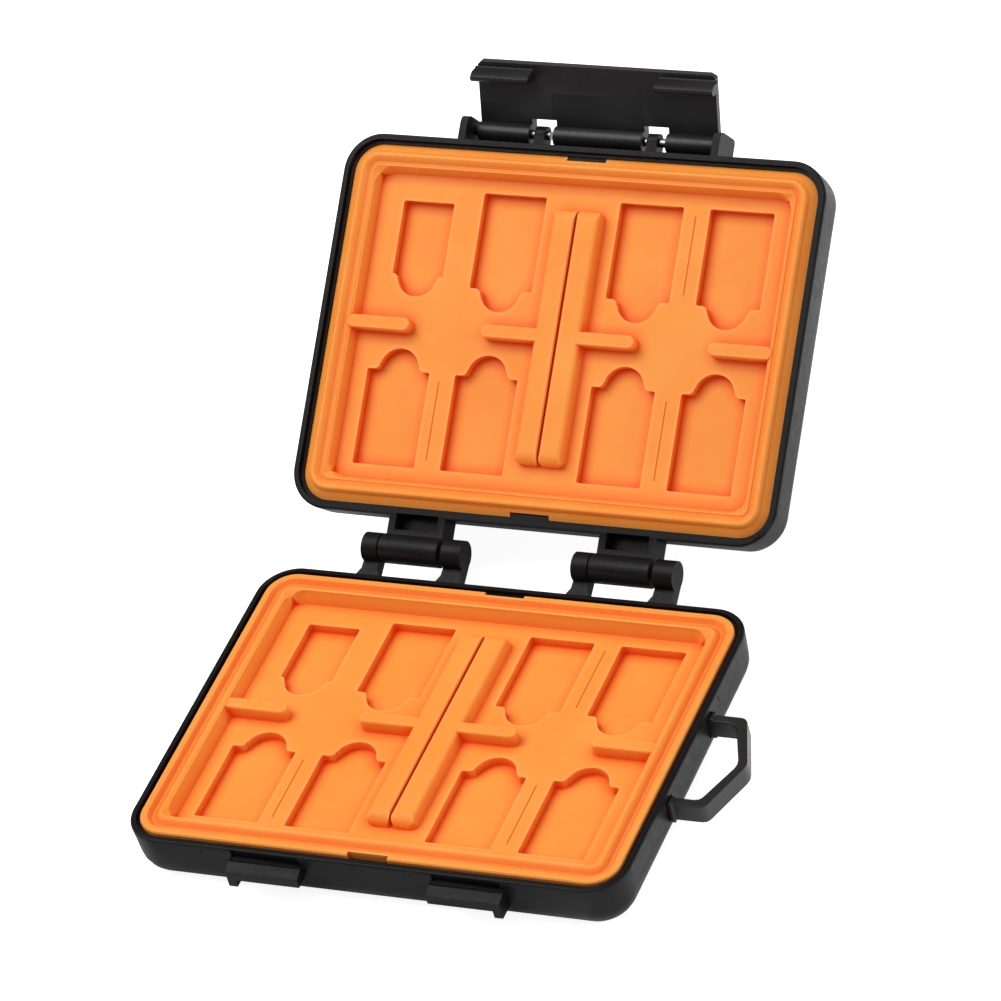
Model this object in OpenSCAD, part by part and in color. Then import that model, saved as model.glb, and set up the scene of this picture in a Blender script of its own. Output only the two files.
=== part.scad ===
// Memory card case: two shells on two hinges, silicone liners with a seal, a latch and a loop.
// It stands on the flat bottom of its base. X runs along the hinges, Y from latch to hinges, Z up.

/* [Shells] */
// Length of both shells along the hinges, at the rim
case_w = 86.3; // [80:0.1:110]
// Depth of both shells from front to back, at the rim
case_d = 63.8; // [63.8:0.2:80]
// Height of one shell from its flat outside to its rim
shell_h = 9.8; // [9.4:0.1:10.4]
// Radius of the shell corners seen from above
corner_r = 6.5; // [6.2:0.1:9]
// Radius of the edge between the walls and the flat outside
edge_r = 4.8; // [3:0.1:5.2]
// How far each wall leans in over its height
draft_in = 0.3; // [0.1:0.1:0.4]
// Thickness of the walls
wall_t = 1.6; // [1.5:0.05:2]
// Thickness of the flat outside
floor_t = 2; // [1.6:0.1:2.4]
// Thickness of the thin lip on top of the walls
lip_t = 1; // [0.8:0.05:1.2]
// Height of the thin lip above the full wall
lip_h = 0.8; // [0.6:0.1:1.2]

/* [Liners] */
// Height of the card floor above the flat outside of the shell
card_floor = 7.5; // [7:0.1:8]
// How far the base liner stands above the rim of its shell
seal_rise = 0.15; // [0:0.05:0.2]
// How far the lid liner lies below the rim of its shell
seal_drop = 0.3; // [0.25:0.05:0.5]
// Height of the tongue on the lid liner
tongue_h = 0.7; // [0.5:0.05:0.7]
// Width of the tongue at its foot
tongue_w = 1.6; // [1.5:0.05:1.6]
// Depth of the groove in the base liner
groove_h = 0.7; // [0.7:0.05:1]
// Width of the groove
groove_w = 1.8; // [1.8:0.05:1.9]
// Distance from the shell outside to the middle of tongue and groove
seal_inset = 3.75; // [3.7:0.05:3.8]
// Length of the wells that hold the full-size cards
well_w = 32.2; // [32.1:0.1:33]
// Width of the wells that hold the full-size cards
well_d = 24.3; // [24.1:0.1:24.5]
// Height of the ribs and ridges between the wells
rib_h = 2.2; // [1.9:0.1:2.3]
// Width of the ribs between front and back wells
rib_w = 2.45; // [2:0.05:3]
// Length of each short rib
rib_len = 10.4; // [8:0.1:12]
// Depth of the small card pockets below the card floor
pocket_h = 1.6; // [1:0.1:2]
// Length of the two slats of the centre ridge
ridge_len = 42.8; // [40:0.1:44]
// Radius of the slats where their ends roll down to the card floor
slat_end_r = 1.9; // [1:0.1:1.9]

/* [Card pockets] */
// Size of a small card pocket across the case
small_w = 11.3; // [11.2:0.1:11.6]
// Size of a small card pocket from front to back
small_d = 16.1; // [15.5:0.1:16.2]
// Size of the phone card pocket across the case
phone_w = 9.2; // [9:0.1:9.5]
// Size of the phone card pocket from front to back
phone_d = 12.4; // [12.4:0.1:13]
// Distance from the middle of the case to the inner pocket centres
inner_x = 12.25; // [12:0.05:12.5]
// Distance from the middle of the case to the outer pocket centres
outer_x = 28.2; // [28:0.05:28.5]
// Distance from the middle of the case to the middle of a small pocket, front to back
small_y = 15.4; // [15.2:0.05:15.6]
// Distance from the middle of the case to the middle of the phone card pocket, front to back
phone_y = 15.1; // [15:0.05:15.4]
// How far a finger notch reaches past its pocket
notch_len = 3.7; // [3:0.1:4]
// Radius of the finger notch
notch_r = 3.6; // [3:0.1:4]

/* [Hinges] */
// Height of the hinge axis above the flat bottom of the base
hinge_z = 10.47; // [10.4:0.01:10.6]
// Distance from the middle of the case to the hinge axis
hinge_y = 37.42; // [37:0.02:40]
// Height of the hinge axis above the flat outside of the lid
lid_axis_z = 9.35; // [9.2:0.01:9.4]
// Radius of the hinge barrels
barrel_r = 2.45; // [2.2:0.05:2.6]
// Distance from the middle of the case to the middle of each hinge
hinge_x = 18.8; // [16:0.1:24]
// Width of each knuckle
knuckle_w = 10.5; // [9.5:0.1:10.6]
// Gap between the left ear of a hinge and the middle of the hinge
left_gap = 6.1; // [6.1:0.05:6.3]
// Gap between the right ear of a hinge and the middle of the hinge
right_gap = 5.45; // [5.4:0.05:6]
// Width of the left ear of each hinge
left_ear_w = 2.8; // [2.5:0.05:3.2]
// Width of the right ear of each hinge
right_ear_w = 3.45; // [3:0.05:3.6]
// Radius of the hinge pins
pin_r = 0.9; // [0.7:0.05:1.1]
// Angle that the lid is open, 0 is closed and 180 is flat
lid_open = 143.8; // [0:0.1:180]

/* [Latch] */
// Height of the latch pins above the flat outside of the lid
latch_z = 5.4; // [5.2:0.1:5.6]
// Distance from the middle of the case to the latch pins
latch_y = 34.3; // [34.3:0.1:42]
// Radius of the latch pins
latch_pin_r = 0.75; // [0.6:0.05:0.85]
// Radius of the root barrel of the latch
root_r = 1.7; // [1.6:0.05:1.8]
// Width of the latch plate
latch_w = 42.6; // [42:0.1:43.4]
// Length of the latch plate from its pins to its tip
latch_len = 12.3; // [11.9:0.1:12.6]
// Thickness of the latch plate
latch_t = 1.8; // [1.6:0.1:2]
// Distance from the latch pins to the inner face of the plate
plate_in = 0.35; // [0.3:0.05:0.4]
// Distance from the latch pins to the catch face of the hooks
hook_start = 9.1; // [9.05:0.05:9.4]
// Distance from the latch pins to the far side of the hooks
hook_end = 10.9; // [10.7:0.1:11.3]
// How far the hooks stand out from the inner face of the plate
hook_out = 2.5; // [2.2:0.1:2.5]
// Angle that the latch is open in its own plane, 0 is closed
latch_open = 58.8; // [0:0.1:110]

/* [Carry loop] */
// Distance between the outsides of the two arms
loop_d = 20.2; // [18:0.1:22]
// Distance from the middle of the case to the tip of the loop
loop_x = 52.7; // [52:0.1:58]
// Distance from the middle of the case to where the arms bend
bend_x = 49.2; // [48:0.1:54]
// Thickness of the band
loop_t = 1.6; // [1.4:0.05:2]
// Height of the band
loop_h = 3.4; // [3:0.1:4]
// Height of the underside of the band above the flat bottom
loop_z = 4.6; // [4.4:0.1:5]

/* [Hidden] */
// Colours as the object shows them
shell_colour = "#2e2c2d";
trim_colour = "#262425";
liner_colour = "#fb9549";
pin_colour = "#b9bbbe";
// Facets of a full circle, and of small rounded details
smooth = 96;
fine = 32;
// Number of steps in the rounded outside edge
edge_steps = 6;
// Running clearance of a pin in its bore, and the gap beside moving faces
pin_gap = 0.05;
side_gap = 0.25;
// Small overlap that joins two shapes of one solid
weld = 0.05;
// How far the fittings reach into the walls
wall_in = 0.9;
// Softening of the outer edge of the rim
rim_r = 0.4;
// Half sizes
half_w = case_w / 2;
half_d = case_d / 2;
// Rim heights of the liners, above the flat outside of their shells
base_lip_z = shell_h + seal_rise;
lid_lip_z = shell_h - seal_drop;
// Liner outline, measured in from the outside of the shell
liner_in = wall_t + 0.05;
// Fall of the outer band of the lid liner towards the wall
band_drop = 0.9;
// Retainer tabs of the shells
tab_w = 6.7;
tab_out = 0.65;
tab_h = 2.2;
tab_drop = 1.2;
tab_gap = 0.15;
// Card wells start at the foot of the centre ridge, and at the side of the short ribs
ridge_foot = 4.4;
slat_gap = 0.4;
slat_r = 1.5;
slit_r = 0.7;
floor_w = 2 * (ridge_foot + well_w);
floor_d = 2 * (rib_w / 2 + 0.2 + well_d);
// How far the side of each well leans out, and the height of that slope
well_lean = 0.8;
well_slope = 2.05;
// Inner end of the rib beside the centre ridge and of the rib beside the wall
near_rib_x = 3.4;
far_rib_x = 26.6;
// How far each rib runs on inside the ridge or the wall
rib_root = 1.2;
// Scored lines in the card floor
score_w = 0.3;
score_depth = 0.12;
score_len = 13.2;
score_x = 20.2;
// Rounding of the pocket corners, and of the shoulders of the finger notches
pocket_r = 0.35;
shoulder_r = 1;
// Hinge mounts on the base: height of the arms at the back wall, below the axis
arm_top = 2.6;
arm_low = 5.7;
foot_spread = 1.7;
foot_len = 2.1;
// Neck of the knuckle on the lid
neck_top = lid_axis_z + 0.35;
neck_low = lid_axis_z - 4.1;
neck_w = 10;
window_w = 7.5;
window_d = 2.7;
window_h = 2.6;
// Latch ears on the lid
outer_ear_x = 22;
outer_lug_w = 1.3;
outer_lug_low = 3.4;
outer_lug_out = 1.7;
inner_ear_x = 9.15;
inner_lug_w = 1.85;
inner_lug_top = 6.85;
inner_lug_r = 1.5;
// Slots at the root of the latch that clear the inner ears, wider on the right of each ear
slot_left = 1;
slot_right = 1.5;
slot_reach = 2.6;
// Hooks on the latch, and catches on the base that they close under
hook_x = 16.5;
hook_w = 10.4;
catch_x = 17.4;
catch_w = 12.6;
catch_out = 2.45;
catch_top = 8;
catch_low = 5.5;
catch_foot_w = 1.5;
catch_foot_h = 1.4;
catch_recess = 0.6;
recess_h = 1.5;
recess_w = 11.7;
// Shallow creases in the base wall beside the catches and the loop
crease_w = 0.25;
crease_depth = 0.15;
crease_h = 2.4;
crease_drop = 0.9;
front_creases = [-28.6, 6.6];
side_crease = 13.3;
// Sockets of the carry loop in the base wall
socket_depth = 1.1;
collar_t = 0.35;
socket_h = loop_h + 2 * collar_t + 0.1;
socket_d = loop_t + 2 * collar_t + 0.1;
collar_x = half_w + 0.3;
collar_len = 0.8;

// Turn a shape about the hinge axis from the upright lid frame to the open lid
module in_lid() {
    translate([0, hinge_y, hinge_z])
        rotate([180 - lid_open, 0, 0])
            translate([0, hinge_y, -lid_axis_z]) children();
}

// Turn a shape about the latch pins, in the lid frame
module in_latch() {
    in_lid()
        translate([0, latch_y, latch_z])
            rotate([-latch_open, 0, 0]) children();
}

// Sweep a section around a rounded outline. Each point is a distance in from the outline, and a height
module ring(w, d, r, section) {
    points = [for (p = section) [r - p[0], p[1]]];
    for (turn = [0:90:270]) {
        long = (turn == 0 || turn == 180) ? d : w;
        across = (turn == 0 || turn == 180) ? w : d;
        rotate([0, 0, turn]) {
            translate([across / 2 - r, long / 2 - r, 0])
                rotate_extrude(angle = 90, $fn = smooth) polygon(points);
            translate([across / 2 - r, long / 2 - r, 0])
                rotate([90, 0, 0])
                    linear_extrude(long - 2 * r) polygon(points);
        }
    }
}

// A solid block with a rounded outline, whose side follows a section from its bottom to its top
module block(w, d, r, section) {
    low = section[0][1];
    high = section[len(section) - 1][1];
    ring(w, d, r, concat([[r, low]], section, [[r, high]]));
    translate([r - w / 2, r - d / 2, low])
        cube([w - 2 * r, d - 2 * r, high - low]);
}

// Section of a wall with a rounded lower edge: inset at the top is 0
function rounded_edge(radius, lean, low, high) = concat(
    [for (step = [0:edge_steps])
        let (a = 90 * step / edge_steps)
        [lean + radius * (1 - sin(a)), low + radius * (1 - cos(a))]],
    [[0, high]]
);

// A bar along X with round ends and a softened top
module bar(length, width, height) {
    soft = 0.3;
    section = [[0, 0], [0.08, height - soft], [0.16, height - 0.12], [soft, height]];
    block(length, width, width / 2 - 0.01, section);
}

// A tray without its fittings, with the cavity for the liner
module tray() {
    difference() {
        block(case_w, case_d, corner_r, concat(
            rounded_edge(edge_r, draft_in, 0, shell_h - rim_r),
            [[rim_r * 0.3, shell_h - rim_r * 0.3], [rim_r, shell_h]]
        ));
        block(case_w - 2 * wall_t, case_d - 2 * wall_t, corner_r - wall_t,
              rounded_edge(edge_r - wall_t, 0, floor_t, shell_h + 1));
        translate([0, 0, shell_h - lip_h])
            block(case_w - 2 * lip_t, case_d - 2 * lip_t, corner_r - lip_t, [[0, 0], [0, lip_h + 1]]);
    }
}

// A retainer tab on the inside of the front wall
module tab() {
    translate([-tab_w / 2, -half_d + lip_t - weld, shell_h - tab_h])
        cube([tab_w, wall_t - lip_t + tab_out + weld, tab_h - tab_drop]);
}

// Seat that a liner leaves around a retainer tab
module tab_seat() {
    translate([-tab_w / 2 - tab_gap, -half_d, shell_h - tab_h - tab_gap])
        cube([tab_w + 2 * tab_gap, wall_t + tab_out + tab_gap, tab_h + 2]);
}

// Side view of a hinge arm on the base, around the axis at 0, 0
module arm_side() {
    back = hinge_y - half_d + wall_in;
    circle(r = barrel_r, $fn = smooth);
    polygon([[1.7, -1.75], [-1, -0.7], [-back, -arm_top], [-back, -arm_low]]);
}

// One hinge arm, from x to x + width, with its foot spread along the wall
module arm(x, width) {
    wall = half_d - hinge_y;
    intersection() {
        translate([x - foot_spread, hinge_y, hinge_z])
            rotate([90, 0, 90])
                linear_extrude(width + 2 * foot_spread) arm_side();
        translate([x, hinge_y, 0])
            linear_extrude(shell_h + 2 * barrel_r)
                polygon([
                    [0, barrel_r + 1], [0, wall + foot_len], [-foot_spread * 0.4, wall + foot_len * 0.45],
                    [-foot_spread, wall], [-foot_spread, wall - wall_in],
                    [width + foot_spread, wall - wall_in], [width + foot_spread, wall],
                    [width + foot_spread * 0.4, wall + foot_len * 0.45], [width, wall + foot_len],
                    [width, barrel_r + 1]
                ]);
    }
}

// Straight cylinder along X from x to x + length, on the hinge axis
module along_x(x, length, r) {
    translate([x, 0, 0]) rotate([0, 90, 0]) cylinder(r = r, h = length, $fn = smooth);
}

// The two arms of one hinge. Side is -1 for the left hinge and 1 for the right one
module hinge_arms(side) {
    arm(side * hinge_x - left_gap - left_ear_w, left_ear_w);
    arm(side * hinge_x + right_gap, right_ear_w);
}

// Bore for a hinge pin. It is blind in the right ear
module hinge_bore(side) {
    reach = left_gap + left_ear_w;
    translate([side * hinge_x, hinge_y, hinge_z])
        along_x(-reach - 1, reach + 1 + right_gap + right_ear_w - 1.1, pin_r + pin_gap);
}

// A catch on the front wall of the base. Side is -1 on the left
module catch(side) {
    mirror([side < 0 ? 1 : 0, 0, 0])
        translate([catch_x - catch_w / 2, -half_d, 0]) {
            rotate([90, 0, 90])
                linear_extrude(catch_w)
                    polygon([
                        [wall_in, catch_top], [-0.35, catch_top], [-0.55, catch_top - 0.3],
                        [0.5 - catch_out, catch_top - 0.6], [-catch_out, catch_top - 0.9],
                        [-catch_out, catch_low], [wall_in, catch_low]
                    ]);
            translate([catch_w - catch_foot_w, -catch_out, catch_low - catch_foot_h])
                cube([catch_foot_w, catch_out + wall_in, catch_foot_h + 0.2]);
        }
}

// Creases in the outside of the base, down from its rim
module creases() {
    for (x = front_creases)
        translate([x, -half_d - 1, shell_h - crease_drop - crease_h])
            cube([crease_w, 1 + crease_depth, crease_h]);
    translate([half_w - crease_depth, side_crease, shell_h - crease_drop - crease_h])
        cube([1 + crease_depth, crease_w, crease_h]);
}

module base_shell() color(shell_colour) {
    difference() {
        union() {
            tray();
            for (side = [-1, 1]) {
                hinge_arms(side);
                catch(side);
            }
            tab();
            mirror([0, 1, 0]) tab();
        }
        for (side = [-1, 1]) {
            hinge_bore(side);
            translate([side * catch_x - recess_w / 2, -half_d - 1, catch_top])
                cube([recess_w, 1 + catch_recess, recess_h]);
            translate([half_w - socket_depth, side * (loop_d - loop_t) / 2 - socket_d / 2,
                       loop_z + (loop_h - socket_h) / 2])
                cube([socket_depth + 1, socket_d, socket_h]);
        }
        creases();
    }
}

// Knuckle and cored neck of one hinge, in the lid frame
module knuckle(side) {
    translate([side * hinge_x + side_gap - left_gap, -hinge_y, 0]) {
        translate([0, 0, lid_axis_z]) along_x(0, knuckle_w, barrel_r);
        difference() {
            translate([(knuckle_w - neck_w) / 2, 0, neck_low])
                cube([neck_w, hinge_y - half_d + wall_in, neck_top - neck_low]);
            translate([-1, -1, neck_low - weld])
                rotate([90, 0, 90])
                    linear_extrude(knuckle_w + 2) polygon([[0, -1], [3.2, -1], [3.2, 0], [0, 1.9]]);
        }
    }
}

// Window cored out of the neck of one knuckle, in the lid frame
module neck_window(side) {
    translate([side * hinge_x + side_gap - left_gap + (knuckle_w - window_w) / 2, 0, neck_top - window_h])
        translate([0, 0.4 - half_d - window_d, 0])
            cube([window_w, window_d, window_h + 1]);
}

// An outer latch ear, from the wall out to its rounded end. Side is -1 on the left
module outer_lug(side) {
    reach = latch_y + outer_lug_out;
    mirror([side < 0 ? 1 : 0, 0, 0])
        translate([outer_ear_x, 0, 0])
            rotate([90, 0, 90])
                linear_extrude(outer_lug_w)
                    polygon([
                        [half_d - wall_in, shell_h], [reach - 1.2, shell_h],
                        [reach - 0.35, shell_h - 0.35], [reach, shell_h - 1.2], [reach, outer_lug_low + 0.7],
                        [reach - 0.2, outer_lug_low + 0.2], [reach - 0.7, outer_lug_low],
                        [half_d - wall_in, outer_lug_low]
                    ]);
}

// An inner latch ear, round about the latch pin. Side is -1 on the left
module inner_lug(side) {
    mirror([side < 0 ? 1 : 0, 0, 0])
        translate([inner_ear_x, 0, 0])
            rotate([90, 0, 90])
                linear_extrude(inner_lug_w) {
                    translate([latch_y, latch_z]) circle(r = inner_lug_r, $fn = smooth);
                    translate([half_d - wall_in, latch_z - inner_lug_r])
                        square([latch_y - half_d + wall_in, inner_lug_top - latch_z + inner_lug_r]);
                }
}

module lid_shell() color(shell_colour) in_lid() {
    difference() {
        union() {
            tray();
            for (side = [-1, 1]) {
                knuckle(side);
                outer_lug(side);
                inner_lug(side);
            }
            tab();
            mirror([0, 1, 0]) tab();
        }
        for (side = [-1, 1]) {
            translate([side * hinge_x, -hinge_y, lid_axis_z])
                along_x(-knuckle_w, 2 * knuckle_w, pin_r + pin_gap);
            neck_window(side);
        }
        translate([0, latch_y, latch_z]) {
            along_x(-outer_ear_x - outer_lug_w + 0.5, outer_ear_x - inner_ear_x - 0.5 + outer_lug_w,
                    latch_pin_r + pin_gap);
            along_x(-inner_ear_x - inner_lug_w - 1, inner_lug_w + 2, latch_pin_r + pin_gap);
            along_x(inner_ear_x - 1, inner_lug_w + 2, latch_pin_r + pin_gap);
            along_x(inner_ear_x, outer_ear_x - inner_ear_x - 0.5 + outer_lug_w, latch_pin_r + pin_gap);
        }
    }
}

// Outline of a card pocket with its finger notch towards +Y
module pocket_outline(w, d) {
    translate([-w / 2, -d / 2]) {
        translate([pocket_r, 0]) square([w - 2 * pocket_r, d]);
        translate([0, pocket_r]) square([w, d - 2 * pocket_r]);
        for (x = [pocket_r, w - pocket_r])
            for (y = [pocket_r, d - pocket_r])
                translate([x, y]) circle(r = pocket_r, $fn = fine);
    }
    translate([0, d / 2 + notch_len - notch_r]) circle(r = notch_r, $fn = smooth);
    difference() {
        translate([-notch_r - shoulder_r, d / 2 - 0.5])
            square([2 * (notch_r + shoulder_r), shoulder_r + 0.5]);
        for (side = [-1, 1])
            translate([side * (notch_r + shoulder_r), d / 2 + shoulder_r])
                circle(r = shoulder_r, $fn = fine);
    }
}

// All eight pockets of one liner, as cutters down to the pocket floor
module pockets(floor_z) {
    translate([0, 0, floor_z - pocket_h]) {
        for (side = [-1, 1]) {
            for (x = [inner_x, outer_x])
                translate([side * x, -small_y, 0])
                    linear_extrude(pocket_h + 1) pocket_outline(small_w, small_d);
            translate([side * inner_x, small_y, 0])
                rotate([0, 0, 180]) linear_extrude(pocket_h + 1) pocket_outline(small_w, small_d);
        }
        translate([outer_x, small_y, 0])
            rotate([0, 0, 180]) linear_extrude(pocket_h + 1) pocket_outline(small_w, small_d);
        translate([-outer_x + 0.6, phone_y, 0])
            rotate([0, 0, 180]) linear_extrude(pocket_h + 1) pocket_outline(phone_w, phone_d);
    }
}

// Scored lines in the card floor between the pockets
module scores(floor_z) {
    for (place = [[score_x, small_y], [score_x, -small_y], [-score_x - 0.35, -small_y]])
        translate([place[0] - score_w / 2, place[1] - score_len / 2, floor_z - score_depth])
            cube([score_w, score_len, score_depth + 1]);
}

// Solid of a liner before its pockets. The section runs from the shell wall over the seal inwards
module liner_body(floor_z, section) {
    outer_w = case_w - 2 * liner_in;
    outer_d = case_d - 2 * liner_in;
    outer_r = corner_r - liner_in;
    difference() {
        block(outer_w, outer_d, outer_r,
              rounded_edge(edge_r - wall_t, 0, floor_t, floor_z + weld));
        translate([0, 0, floor_z])
            block(floor_w + 1, floor_d + 1, 3, [[0, 0], [0, 1]]);
    }
    difference() {
        ring(outer_w, outer_d, outer_r, section);
        translate([0, 0, floor_z])
            block(floor_w, floor_d, 2.2, [[0, 0], [-well_lean, well_slope], [-well_lean, 4]]);
    }
}

module base_liner() color(liner_colour) {
    floor_z = card_floor;
    top = base_lip_z;
    seal = seal_inset - liner_in;
    full = corner_r - liner_in;
    difference() {
        union() {
            liner_body(floor_z, [
                [0, floor_z], [0, top - 0.25], [0.2, top], [seal - groove_w / 2, top],
                [seal - 0.6, top - groove_h * 0.6], [seal - 0.3, top - groove_h],
                [seal + 0.25, top - groove_h], [seal + 0.6, top - groove_h * 0.6],
                [seal + groove_w / 2, top - 0.1],
                [seal + 1.2, top + 0.05], [seal + 1.6, top + 0.05], [seal + 1.8, top - 0.1],
                [full, top - 0.6], [full, floor_z]
            ]);
            ridge_and_ribs(floor_z);
        }
        pockets(floor_z);
        scores(floor_z);
        tab_seat();
        mirror([0, 1, 0]) tab_seat();
    }
}

// Cross section of one slat, from the slit in the middle of the ridge out to its foot
module slat_section(top) {
    slit = slat_gap / 2;
    polygon([
        [slit, 0], [ridge_foot, 0], [ridge_foot - 0.25, 1], [ridge_foot - 0.4, top - 0.45],
        [ridge_foot - 0.6, top - 0.15], [ridge_foot - 0.95, top], [slit + 0.2, top], [slit, top - 0.2]
    ]);
}

// Outline of one slat seen from above, rounded at both ends
module slat_outline() {
    slit = slat_gap / 2;
    half = ridge_len / 2;
    translate([slit, slat_r - half]) square([ridge_foot - slit, ridge_len - 2 * slat_r]);
    translate([slit + slit_r, -half]) square([ridge_foot - slit - slit_r - slat_r, ridge_len]);
    for (end = [-1, 1]) {
        translate([ridge_foot - slat_r, end * (half - slat_r)]) circle(r = slat_r, $fn = smooth);
        translate([slit + slit_r, end * (half - slit_r)]) circle(r = slit_r, $fn = smooth);
    }
    translate([slit, slit_r - half]) square([slat_r, ridge_len - 2 * slit_r]);
}

// One slat of the centre ridge, along Y. Side is -1 on the left
module slat(side) {
    top = rib_h + weld;
    half = ridge_len / 2;
    end = [for (a = [0:15:90]) [half - slat_end_r * (1 - sin(a)), top - slat_end_r * (1 - cos(a))]];
    mirror([side < 0 ? 1 : 0, 0, 0])
        intersection() {
            rotate([90, 0, 0])
                translate([0, 0, -half]) linear_extrude(ridge_len) slat_section(top);
            linear_extrude(top + 1) slat_outline();
            rotate([90, 0, 90])
                linear_extrude(ridge_foot + 1)
                    polygon(concat(
                        [[-half - 1, -1], [half + 1, -1], [half + 1, top - slat_end_r]],
                        [for (k = [6:-1:0]) end[k]],
                        [for (k = [0:6]) [-end[k][0], end[k][1]]],
                        [[-half - 1, top - slat_end_r]]
                    ));
        }
}

// A short rib along X between two places, the same on both sides of the middle
module rib_pair(from, to) {
    for (side = [-1, 1])
        translate([side * (from + to) / 2, 0, 0]) bar(to - from, rib_w, rib_h + weld);
}

// The centre ridge of two slats, and the four short ribs that run into it and into the walls
module ridge_and_ribs(floor_z) {
    translate([0, 0, floor_z - weld]) {
        slat(-1);
        slat(1);
        rib_pair(near_rib_x - rib_root, near_rib_x + rib_len);
        rib_pair(far_rib_x, far_rib_x + rib_len + rib_root);
    }
}

module lid_liner() color(liner_colour) in_lid() {
    floor_z = card_floor - 0.1;
    top = lid_lip_z;
    seal = seal_inset - liner_in;
    full = corner_r - liner_in;
    difference() {
        union() {
            liner_body(floor_z, [
                [0, floor_z], [0, top - band_drop], [seal - tongue_w / 2, top - 0.12],
                [seal - 0.6, top + tongue_h / 2], [seal - 0.3, top + tongue_h * 0.93],
                [seal, top + tongue_h], [seal + 0.3, top + tongue_h * 0.8], [seal + 0.65, top + 0.2],
                [seal + 0.95, top - 0.1], [seal + 1.25, top - 0.1], [seal + 1.4, top],
                [seal + 1.65, top], [seal + 1.85, top - 0.15], [full, top - 0.6], [full, floor_z]
            ]);
            ridge_and_ribs(floor_z);
        }
        pockets(floor_z);
        scores(floor_z);
        tab_seat();
        mirror([0, 1, 0]) tab_seat();
    }
}

// Side view of the latch plate between its root and its tip, around the pins at 0, 0
module plate_side() {
    far = plate_in + latch_t;
    polygon([
        [plate_in, 0], [plate_in, latch_len - 0.3], [plate_in + 0.4, latch_len], [far - 1, latch_len],
        [far, latch_len - 1.1], [far, 0.6], [far - 0.5, -0.2]
    ]);
}

// A hook on the inner face of the latch plate
module hook(side) {
    low = plate_in - hook_out;
    translate([side * hook_x - hook_w / 2, 0, 0])
        rotate([90, 0, 90])
            linear_extrude(hook_w)
                polygon([
                    [plate_in + weld, hook_start - 0.3], [plate_in - 0.5, hook_start],
                    [low + 0.4, hook_start], [low, hook_start + 0.4], [low, hook_end - 0.9],
                    [low + 0.9, hook_end - 0.2], [plate_in - 0.3, hook_end],
                    [plate_in + weld, hook_end + 0.3]
                ]);
}

module latch_plate() color(trim_colour) in_latch() {
    difference() {
        union() {
            rotate([90, 0, 90])
                translate([0, 0, -latch_w / 2]) linear_extrude(latch_w) plate_side();
            along_x(-latch_w / 2, latch_w, root_r);
            hook(-1);
            hook(1);
        }
        for (side = [-1, 1]) {
            translate([side * (inner_ear_x + inner_lug_w / 2), -root_r - 1, -root_r - 1])
                translate([-inner_lug_w / 2 - slot_left, 0, 0])
                    cube([inner_lug_w + slot_left + slot_right, 2 * root_r + 3, root_r + 1 + slot_reach]);
            translate([side * latch_w / 2, 0, latch_len])
                rotate([0, 45, 0]) cube([1.2, 8, 1.2], center = true);
            translate([side * latch_w / 2, plate_in + latch_t, latch_len / 2])
                rotate([0, 0, 45]) cube([0.9, 0.9, latch_len + 8], center = true);
        }
        along_x(-latch_w / 2 - 1, latch_w + 2, latch_pin_r + pin_gap);
        translate([-8.2, plate_in - 0.2, 1.6]) cube([16.4, 0.25, 5.6]);
    }
}

// Outline of the band of the loop seen from above, for one distance in from its outside
module loop_outline(inset) {
    arm = loop_d / 2 - inset;
    bend = bend_x - inset * 0.8;
    polygon([
        [half_w - socket_depth + 0.1, -arm], [bend - 0.9, -arm], [bend - 0.25, -arm + 0.2],
        [bend + 0.2, -arm + 0.65], [loop_x - inset - 0.2, -1], [loop_x - inset, 0],
        [loop_x - inset - 0.2, 1], [bend + 0.2, arm - 0.65], [bend - 0.25, arm - 0.2],
        [bend - 0.9, arm], [half_w - socket_depth + 0.1, arm]
    ]);
}

module carry_loop() color(trim_colour) {
    difference() {
        union() {
            translate([0, 0, loop_z]) linear_extrude(loop_h) loop_outline(0);
            for (side = [-1, 1])
                translate([collar_x, side * (loop_d - loop_t) / 2, loop_z + loop_h / 2])
                    cube([collar_len, loop_t + 2 * collar_t, loop_h + 2 * collar_t], center = true);
        }
        translate([0, 0, loop_z - 1]) linear_extrude(loop_h + 2) loop_outline(loop_t);
    }
}

// A hinge pin from its entry face to a little short of its blind end
module hinge_pin(side) {
    reach = left_gap + left_ear_w - 0.2;
    color(pin_colour)
        translate([side * hinge_x, hinge_y, hinge_z])
            along_x(-reach, reach + right_gap + right_ear_w - 1.5, pin_r);
}

// A latch pin between an outer and an inner ear. Side is -1 on the left
module latch_pin(side) {
    from = inner_ear_x - 0.6;
    color(pin_colour)
        in_lid()
            translate([0, latch_y, latch_z])
                mirror([side < 0 ? 1 : 0, 0, 0])
                    along_x(from, outer_ear_x + 0.6 - from, latch_pin_r);
}

module hinge_pin_left() hinge_pin(-1);
module hinge_pin_right() hinge_pin(1);
module latch_pin_left() latch_pin(-1);
module latch_pin_right() latch_pin(1);

base_shell();
lid_shell();
base_liner();
lid_liner();
latch_plate();
carry_loop();
hinge_pin_left();
hinge_pin_right();
latch_pin_left();
latch_pin_right();
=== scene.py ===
import math

import bmesh
import bpy
from mathutils import Matrix, Vector


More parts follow.
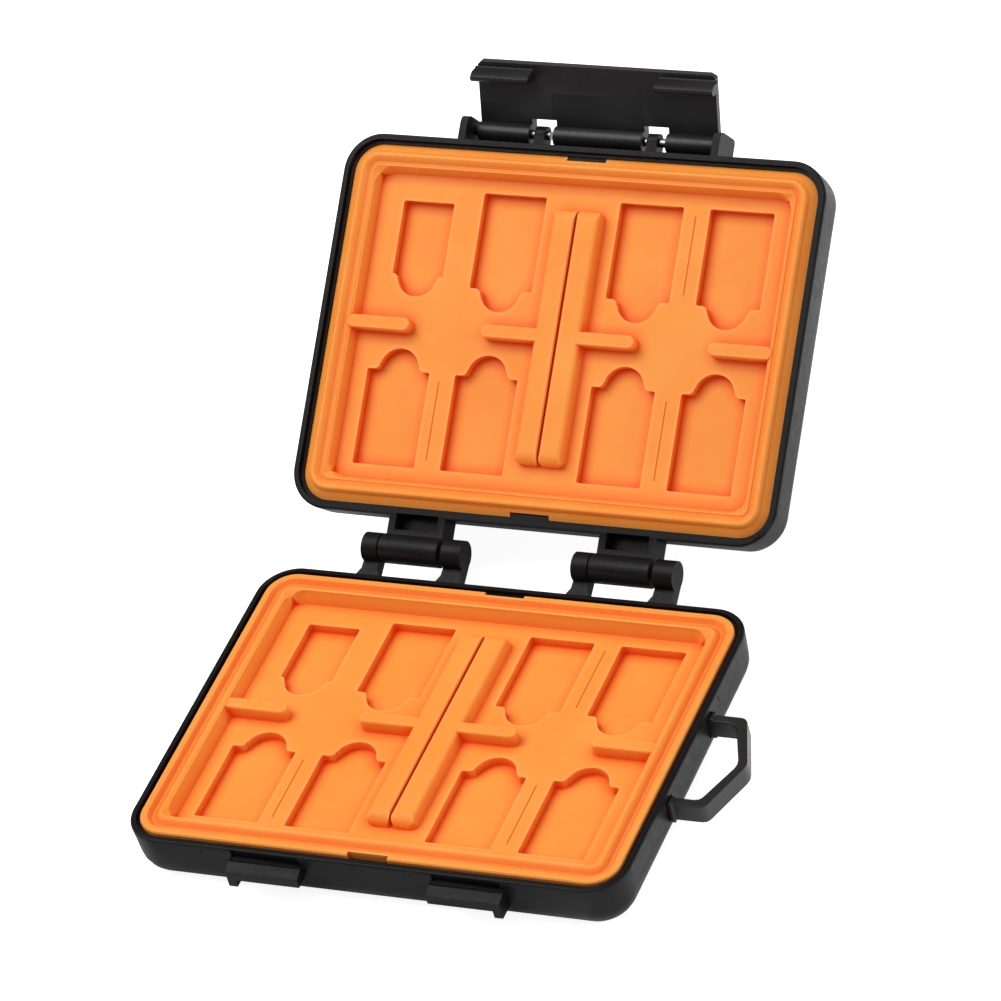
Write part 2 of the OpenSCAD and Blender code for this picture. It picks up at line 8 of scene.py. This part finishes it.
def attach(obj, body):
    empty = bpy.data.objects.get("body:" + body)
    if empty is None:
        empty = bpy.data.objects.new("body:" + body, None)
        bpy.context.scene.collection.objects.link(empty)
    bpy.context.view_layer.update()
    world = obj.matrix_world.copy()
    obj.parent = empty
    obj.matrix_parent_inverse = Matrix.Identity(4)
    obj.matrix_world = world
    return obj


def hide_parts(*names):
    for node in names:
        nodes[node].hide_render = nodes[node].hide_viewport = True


mm = 0.001
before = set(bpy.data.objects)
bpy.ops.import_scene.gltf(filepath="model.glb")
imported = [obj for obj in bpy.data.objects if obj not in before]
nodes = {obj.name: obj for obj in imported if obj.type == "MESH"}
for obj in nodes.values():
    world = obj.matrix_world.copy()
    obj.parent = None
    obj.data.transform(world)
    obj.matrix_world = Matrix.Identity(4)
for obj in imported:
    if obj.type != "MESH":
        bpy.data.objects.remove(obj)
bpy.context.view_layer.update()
scene = bpy.context.scene
print("case loaded:", len(nodes), "parts")


def newObject(name, data):
    obj = bpy.data.objects.new(name, data)
    scene.collection.objects.link(obj)
    return obj


# camera of the photograph, solved from the case's own edges
camera = {
    "azimuth": 32.324, "elevation": 39.487, "roll": -16.654,
    "distance": 1084.46 * mm, "target": (-10.88 * mm, 54.06 * mm, 7.5 * mm),
    "lens": 236.87, "sensor": 36, "clip": (0.05, 20),
}


def cameraAxes(c):
    az, el, roll = (math.radians(c[k]) for k in ("azimuth", "elevation", "roll"))
    back = Vector((math.sin(az) * math.cos(el), -math.cos(az) * math.cos(el), math.sin(el)))
    right = Vector((0, 0, 1)).cross(back).normalized()
    up = back.cross(right)
    return (
        right * math.cos(roll) + up * math.sin(roll),
        up * math.cos(roll) - right * math.sin(roll),
        back,
    )


def makeCamera(c):
    right, up, back = cameraAxes(c)
    data = bpy.data.cameras.new("photoCamera")
    data.lens = c["lens"]
    data.sensor_width = c["sensor"]
    data.clip_start, data.clip_end = c["clip"]
    obj = newObject("photoCamera", data)
    turn = Matrix((right, up, back)).transposed().to_4x4()
    obj.matrix_world = Matrix.Translation(Vector(c["target"]) + back * c["distance"]) @ turn
    scene.camera = obj


makeCamera(camera)
print("camera set")


def srgb(r, g, b):
    def linear(c):
        c = c / 255
        return c / 12.92 if c <= 0.04045 else ((c + 0.055) / 1.055) ** 2.4
    return (linear(r), linear(g), linear(b), 1.0)


def combine(tree, operation, first, second):
    node = tree.nodes.new("ShaderNodeMath")
    node.operation = operation
    tree.links.new(first, node.inputs[0])
    tree.links.new(second, node.inputs[1])
    return node.outputs[0]


# a small helper round a material's node tree
class Nodes:
    def __init__(self, name):
        self.material = bpy.data.materials.new(name)
        self.material.use_nodes = True
        self.tree = self.material.node_tree
        self.shader = self.tree.nodes["Principled BSDF"]
        self.place = self.add("ShaderNodeTexCoord").outputs["Object"]

    def add(self, kind, **settings):
        node = self.tree.nodes.new(kind)
        for key, value in settings.items():
            setattr(node, key, value)
        return node

    def link(self, source, target):
        self.tree.links.new(source, target)

    def noise(self, scale, detail=4, roughness=0.6, vector=None):
        node = self.add("ShaderNodeTexNoise")
        node.inputs["Scale"].default_value = scale
        node.inputs["Detail"].default_value = detail
        node.inputs["Roughness"].default_value = roughness
        self.link(self.place if vector is None else vector, node.inputs["Vector"])
        return node.outputs["Fac"]

    def ramp(self, source, stops):
        node = self.add("ShaderNodeValToRGB")
        elements = node.color_ramp.elements
        elements[0].position, elements[0].color = stops[0]
        elements[1].position, elements[1].color = stops[-1]
        for where, colour in stops[1:-1]:
            elements.new(where).color = colour
        self.link(source, node.inputs["Fac"])
        return node.outputs["Color"]

    def span(self, source, low, high, start=0.0, stop=1.0):
        node = self.add("ShaderNodeMapRange")
        for key, value in (("From Min", start), ("From Max", stop), ("To Min", low), ("To Max", high)):
            node.inputs[key].default_value = value
        self.link(source, node.inputs["Value"])
        return node.outputs["Result"]

    def mix(self, amount, first, second):
        node = self.add("ShaderNodeMix", data_type="RGBA")
        self.link(amount, node.inputs["Factor"])
        # a Mix node's sockets 6, 7 and 2 are its two colours and the mixed one
        self.fill(node.inputs[6], first)
        self.fill(node.inputs[7], second)
        return node.outputs[2]

    def bump(self, height, strength, distance, under=None):
        node = self.add("ShaderNodeBump")
        node.inputs["Strength"].default_value = strength
        node.inputs["Distance"].default_value = distance
        self.link(height, node.inputs["Height"])
        if under is not None:
            self.link(under, node.inputs["Normal"])
        return node.outputs["Normal"]

    # paints light and shade into a colour: mixes a tone in where walls are close together (painted shade),
    # and where the piece is thin if it looks inside (painted highlight)
    def tone(self, colour, t, inside=False):
        node = self.add("ShaderNodeAmbientOcclusion", samples=6, inside=inside, only_local=True)
        node.inputs["Distance"].default_value = t["reach"]
        amount = self.span(node.outputs["AO"], 0.0, t["most"], *t["between"])
        return self.mix(amount, colour, t["colour"])

    # a socket takes a link from another socket, or else a plain value
    def fill(self, socket, value):
        if hasattr(value, "links"):
            self.link(value, socket)
        else:
            socket.default_value = value

    def set(self, **values):
        for key, value in values.items():
            self.fill(self.shader.inputs[key.replace("_", " ")], value)


# moulded plastic: a soft mottle, a fine grain and a painted highlight that makes the edges slightly paler
shellPlastic = {
    "dark": srgb(17, 16, 17), "light": srgb(25, 24, 25), "mottle": 130, "mottleHeight": 0.02 * mm,
    # painted highlight: convex edges are mixed towards this paler grey
    "paintedEdgeGrey": srgb(50, 48, 49), "edgeHighlightBetween": (0.53, 0.62), "edgeHighlightMost": 0.45,
    "grain": 5200, "grainHeight": 0.012 * mm,
    "patches": 900, "roughness": (0.34, 0.46), "specular": 0.12,
}
trimPlastic = dict(shellPlastic, dark=srgb(20, 18, 19), light=srgb(30, 28, 29), specular=0.4)


def makePlastic(name, s):
    m = Nodes(name)
    mottle = m.noise(s["mottle"], 5)
    grain = m.noise(s["grain"], 3, 0.7)
    pointiness = m.add("ShaderNodeNewGeometry").outputs["Pointiness"]
    # painted highlight: the pointiness of convex edges mixes in the paler grey
    edgeHighlight = m.span(pointiness, 0.0, s["edgeHighlightMost"], *s["edgeHighlightBetween"])
    m.set(
        Base_Color=m.mix(edgeHighlight, m.ramp(mottle, [(0.3, s["dark"]), (0.7, s["light"])]), s["paintedEdgeGrey"]),
        Roughness=m.span(m.noise(s["patches"], 4), *s["roughness"], 0.3, 0.7),
        Specular_IOR_Level=s["specular"],
        Normal=m.bump(mottle, 0.25, s["mottleHeight"], m.bump(grain, 0.5, s["grainHeight"])),
    )
    return m.material


# light soaks into the silicone below its surface; a painted highlight makes thin edges paler, and painted
# shade, deep red-orange in tight corners, stands in for colour bounced between their walls
silicone = {
    "deep": srgb(249, 147, 56), "main": srgb(251, 153, 62), "pale": srgb(253, 160, 70),
    # painted highlight: a paler orange where the piece is thin, at its edges
    "thin": {"colour": srgb(255, 182, 98), "reach": 0.8 * mm, "between": (0.9, 0.45), "most": 0.7},
    # painted shade: a deep red-orange where walls are close together, in corners
    "paintedCornerShade": {"colour": srgb(242, 90, 24), "reach": 2.4 * mm, "between": (0.95, 0.5), "most": 1.0},
    "mottle": 70, "mottleHeight": 0.03 * mm, "grain": 3800, "grainHeight": 0.008 * mm,
    "dust": 2600, "roughness": (0.42, 0.56), "specular": 0.2,
    "soak": 0.25, "soakRadius": (1.0, 0.2, 0.06), "soakDepth": 0.9 * mm,
}


def makeSilicone(name, s):
    m = Nodes(name)
    mottle = m.noise(s["mottle"], 5)
    dust = m.noise(s["dust"], 6, 0.75)
    colour = m.ramp(mottle, [(0.28, s["deep"]), (0.5, s["main"]), (0.74, s["pale"])])
    grain = m.bump(m.noise(s["grain"], 3), 0.35, s["grainHeight"])
    m.set(
        # painted highlight on thin edges, then painted shade in corners, mixed into the colour
        Base_Color=m.tone(m.tone(colour, s["thin"], inside=True), s["paintedCornerShade"]),
        Roughness=m.span(dust, *s["roughness"], 0.35, 0.65),
        Specular_IOR_Level=s["specular"],
        Subsurface_Weight=s["soak"],
        Subsurface_Radius=s["soakRadius"],
        Subsurface_Scale=s["soakDepth"],
        Normal=m.bump(mottle, 0.2, s["mottleHeight"], grain),
    )
    return m.material


# drawn pins: fine lines along the axis, which lies along X
pinSteel = {
    "main": srgb(186, 188, 192), "dark": srgb(132, 134, 138), "roughness": (0.22, 0.4),
    "lines": (60, 4000, 4000), "lineHeight": 0.01 * mm,
}


def makeSteel(name, s):
    m = Nodes(name)
    stretch = m.add("ShaderNodeMapping")
    stretch.inputs["Scale"].default_value = s["lines"]
    m.link(m.place, stretch.inputs["Vector"])
    lines = m.noise(1, 3, 0.5, stretch.outputs["Vector"])
    m.set(
        Base_Color=m.ramp(lines, [(0.3, s["dark"]), (0.7, s["main"])]),
        Metallic=1.0,
        Roughness=m.span(lines, *s["roughness"], 0.3, 0.7),
        Normal=m.bump(lines, 0.3, s["lineHeight"]),
    )
    return m.material


finishes = {
    "shell": makePlastic("shellBlackPlastic", shellPlastic),
    "trim": makePlastic("trimBlackPlastic", trimPlastic),
    "liner": makeSilicone("linerOrangeSilicone", silicone),
}
steel = makeSteel("pinBrushedSteel", pinSteel)
print("materials made")


def meshObject(name, bm, material):
    data = bpy.data.meshes.new(name)
    bm.to_mesh(data)
    bm.free()
    data.materials.append(material)
    return newObject(name, data)


# a CAD node's mesh is loose triangles, so the copy is merged and its flat faces are joined
merging = {"within": 0.002 * mm, "flatTo": 0.6}


def mergedCopy(node):
    bm = bmesh.new()
    bm.from_mesh(nodes[node].data)
    bmesh.ops.remove_doubles(bm, verts=bm.verts, dist=merging["within"])
    bmesh.ops.dissolve_limit(
        bm, angle_limit=math.radians(merging["flatTo"]), verts=bm.verts, edges=bm.edges,
        use_dissolve_boundaries=False,
    )
    return bm


def addPiece(bm, name, node, slotName, bodyName):
    obj = meshObject(name, bm, finishes[slotName])
    obj.data.shade_smooth()
    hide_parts(node)
    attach(obj, bodyName)
    return obj


# rounds the edges sharper than the angle, or without one the edges that carry a bevel weight
def softenEdges(obj, width, steps, angle=None):
    bevel = obj.modifiers.new("softEdges", "BEVEL")
    bevel.width = width
    bevel.segments = steps
    if angle is None:
        bevel.limit_method = "WEIGHT"
    else:
        bevel.limit_method = "ANGLE"
        bevel.angle_limit = math.radians(angle)
    flat = obj.modifiers.new("flatFaces", "WEIGHTED_NORMAL")
    flat.mode = "FACE_AREA"
    flat.weight = 100


# moulded hard parts, with the width of their rounded edges in mm
hardSharpest = 32  # degrees; flatter edges stay as they are
hardParts = {
    "base_shell": {"name": "baseShellMoulding", "body": "base", "edge": 0.14, "steps": 2, "slot": "shell"},
    "lid_shell": {"name": "lidShellMoulding", "body": "lid", "edge": 0.14, "steps": 2, "slot": "shell"},
    "latch_plate": {"name": "latchPlateMoulding", "body": "latch", "edge": 0.2, "steps": 3, "slot": "trim"},
    "carry_loop": {"name": "carryLoopBand", "body": "base", "edge": 0.4, "steps": 4, "slot": "trim"},
}
for node, s in hardParts.items():
    piece = addPiece(mergedCopy(node), s["name"], node, s["slot"], s["body"])
    softenEdges(piece, s["edge"] * mm, s["steps"], hardSharpest)
print("shells, latch and loop made")

# turns the lid from its own frame, where it lies with its opening up, to where it stands open
lidPlace = {"axisY": 37.42 * mm, "axisZ": 10.47 * mm, "axisInLid": 9.35 * mm, "open": 143.8}


def lidFrame(s):
    return (
        Matrix.Translation((0, s["axisY"], s["axisZ"]))
        @ Matrix.Rotation(math.radians(180 - s["open"]), 4, "X")
        @ Matrix.Translation((0, s["axisY"], -s["axisInLid"]))
    )


# silicone liners: the height of the card floor in mm, and the turn from the liner's frame to the case's
liners = {
    "base_liner": {"name": "baseLinerPad", "body": "base", "floor": 7.5, "turn": Matrix()},
    "lid_liner": {"name": "lidLinerPad", "body": "lid", "floor": 7.4, "turn": lidFrame(lidPlace)},
}
# radius of each kind of edge and inner corner in mm; floorFoot is the largest
linerRounding = {
    "pocketDepth": 1.6, "pocketFoot": 0.32, "pocketTop": 0.22, "floorFoot": 0.5,
    "upper": 0.2, "outside": 0.1, "sharpest": 22, "steps": 3, "levelTo": 0.05, "near": 0.1,
}


def linerRadius(low, high, angle, r):
    level = high - low < r["levelTo"]
    if low < -r["pocketDepth"] - r["near"]:
        return r["outside"]
    if level and abs(low + r["pocketDepth"]) < r["near"]:
        return r["pocketFoot"]
    if level and abs(low) < r["near"]:
        return r["floorFoot"] if angle < 0 else r["pocketTop"]
    return r["upper"]


def roundLiner(bm, s, r):
    weights = bm.edges.layers.float.new("bevel_weight_edge")
    for edge in bm.edges:
        if len(edge.link_faces) != 2:
            continue
        angle = edge.calc_face_angle_signed(0)
        if abs(angle) < math.radians(r["sharpest"]):
            continue
        low = min(v.co.z for v in edge.verts) / mm - s["floor"]
        high = max(v.co.z for v in edge.verts) / mm - s["floor"]
        edge[weights] = linerRadius(low, high, angle, r) / r["floorFoot"]


for node, s in liners.items():
    bm = mergedCopy(node)
    bmesh.ops.transform(bm, matrix=s["turn"].inverted(), verts=bm.verts)
    roundLiner(bm, s, linerRounding)
    bmesh.ops.transform(bm, matrix=s["turn"], verts=bm.verts)
    piece = addPiece(bm, s["name"], node, "liner", s["body"])
    softenEdges(piece, linerRounding["floorFoot"] * mm, linerRounding["steps"])
print("liners made")

for name, obj in nodes.items():
    if "pin" in name:
        obj.data.materials.clear()
        obj.data.materials.append(steel)
print("pins finished")

# pale floor, whose look in reflections is brighter on the right, as from a white card there
floor = {
    "half": 3, "dark": srgb(232, 232, 232), "light": srgb(236, 236, 236), "mottle": 3, "roughness": 0.9,
    "glow": 0.85, "inGloss": (0.1, 1.0), "cardBetween": (20 * mm, 60 * mm),
}


def makeFloor(s):
    bm = bmesh.new()
    bmesh.ops.create_grid(bm, x_segments=1, y_segments=1, size=s["half"])
    m = Nodes("floorPale")
    path = m.add("ShaderNodeLightPath").outputs
    mirrored = combine(m.tree, "MAXIMUM", path["Is Glossy Ray"], path["Is Transmission Ray"])
    side = m.add("ShaderNodeSeparateXYZ")
    m.link(m.place, side.inputs[0])
    card = combine(m.tree, "MULTIPLY", m.span(side.outputs["X"], *s["inGloss"], *s["cardBetween"]), mirrored)
    m.set(
        Base_Color=m.ramp(m.noise(s["mottle"], 2), [(0.3, s["dark"]), (0.7, s["light"])]),
        Roughness=s["roughness"],
        Emission_Color=(1, 1, 1, 1),
        Emission_Strength=combine(m.tree, "MAXIMUM", m.span(path["Is Camera Ray"], 0.0, s["glow"]), card),
    )
    obj = meshObject("floor", bm, m.material)


# soft lamps, each in a direction from the point they aim at, with sizes and distances in metres
lampAim = (0, 20 * mm, 20 * mm)
lamps = {
    "keyLamp": {"toward": (-0.4, -0.04, 0.92), "far": 1.0, "size": 0.8, "power": 8.2},
    "fillLamp": {"toward": (0.97, 0.12, 0.2), "far": 1.0, "size": 0.8, "power": 4.0},
}


def makeLamp(name, s):
    aim = Vector(lampAim)
    place = aim + Vector(s["toward"]).normalized() * s["far"]
    data = bpy.data.lights.new(name, "AREA")
    data.size = s["size"]
    data.energy = s["power"]
    obj = newObject(name, data)
    obj.location = place
    obj.rotation_mode = "QUATERNION"
    obj.rotation_quaternion = (aim - place).to_track_quat("-Z", "Y")


# the sky is white to the camera and through clear parts, and dimmer as light and in reflections
sky = {"light": 0.4, "inGloss": 0.14}


def makeSky(s):
    world = bpy.data.worlds.new("studioSky")
    scene.world = world
    world.use_nodes = True
    tree = world.node_tree
    background = tree.nodes["Background"]
    background.inputs["Color"].default_value = (1, 1, 1, 1)
    path = tree.nodes.new("ShaderNodeLightPath").outputs
    glossy = tree.nodes.new("ShaderNodeMapRange")
    glossy.inputs["To Min"].default_value = s["light"]
    glossy.inputs["To Max"].default_value = s["inGloss"]
    tree.links.new(path["Is Glossy Ray"], glossy.inputs["Value"])
    seen = combine(tree, "MAXIMUM", path["Is Camera Ray"], glossy.outputs["Result"])
    strength = combine(tree, "MAXIMUM", path["Is Transmission Ray"], seen)
    tree.links.new(strength, background.inputs["Strength"])


makeFloor(floor)
for name, s in lamps.items():
    makeLamp(name, s)
makeSky(sky)
scene.view_settings.view_transform = "Standard"
print("studio lit")
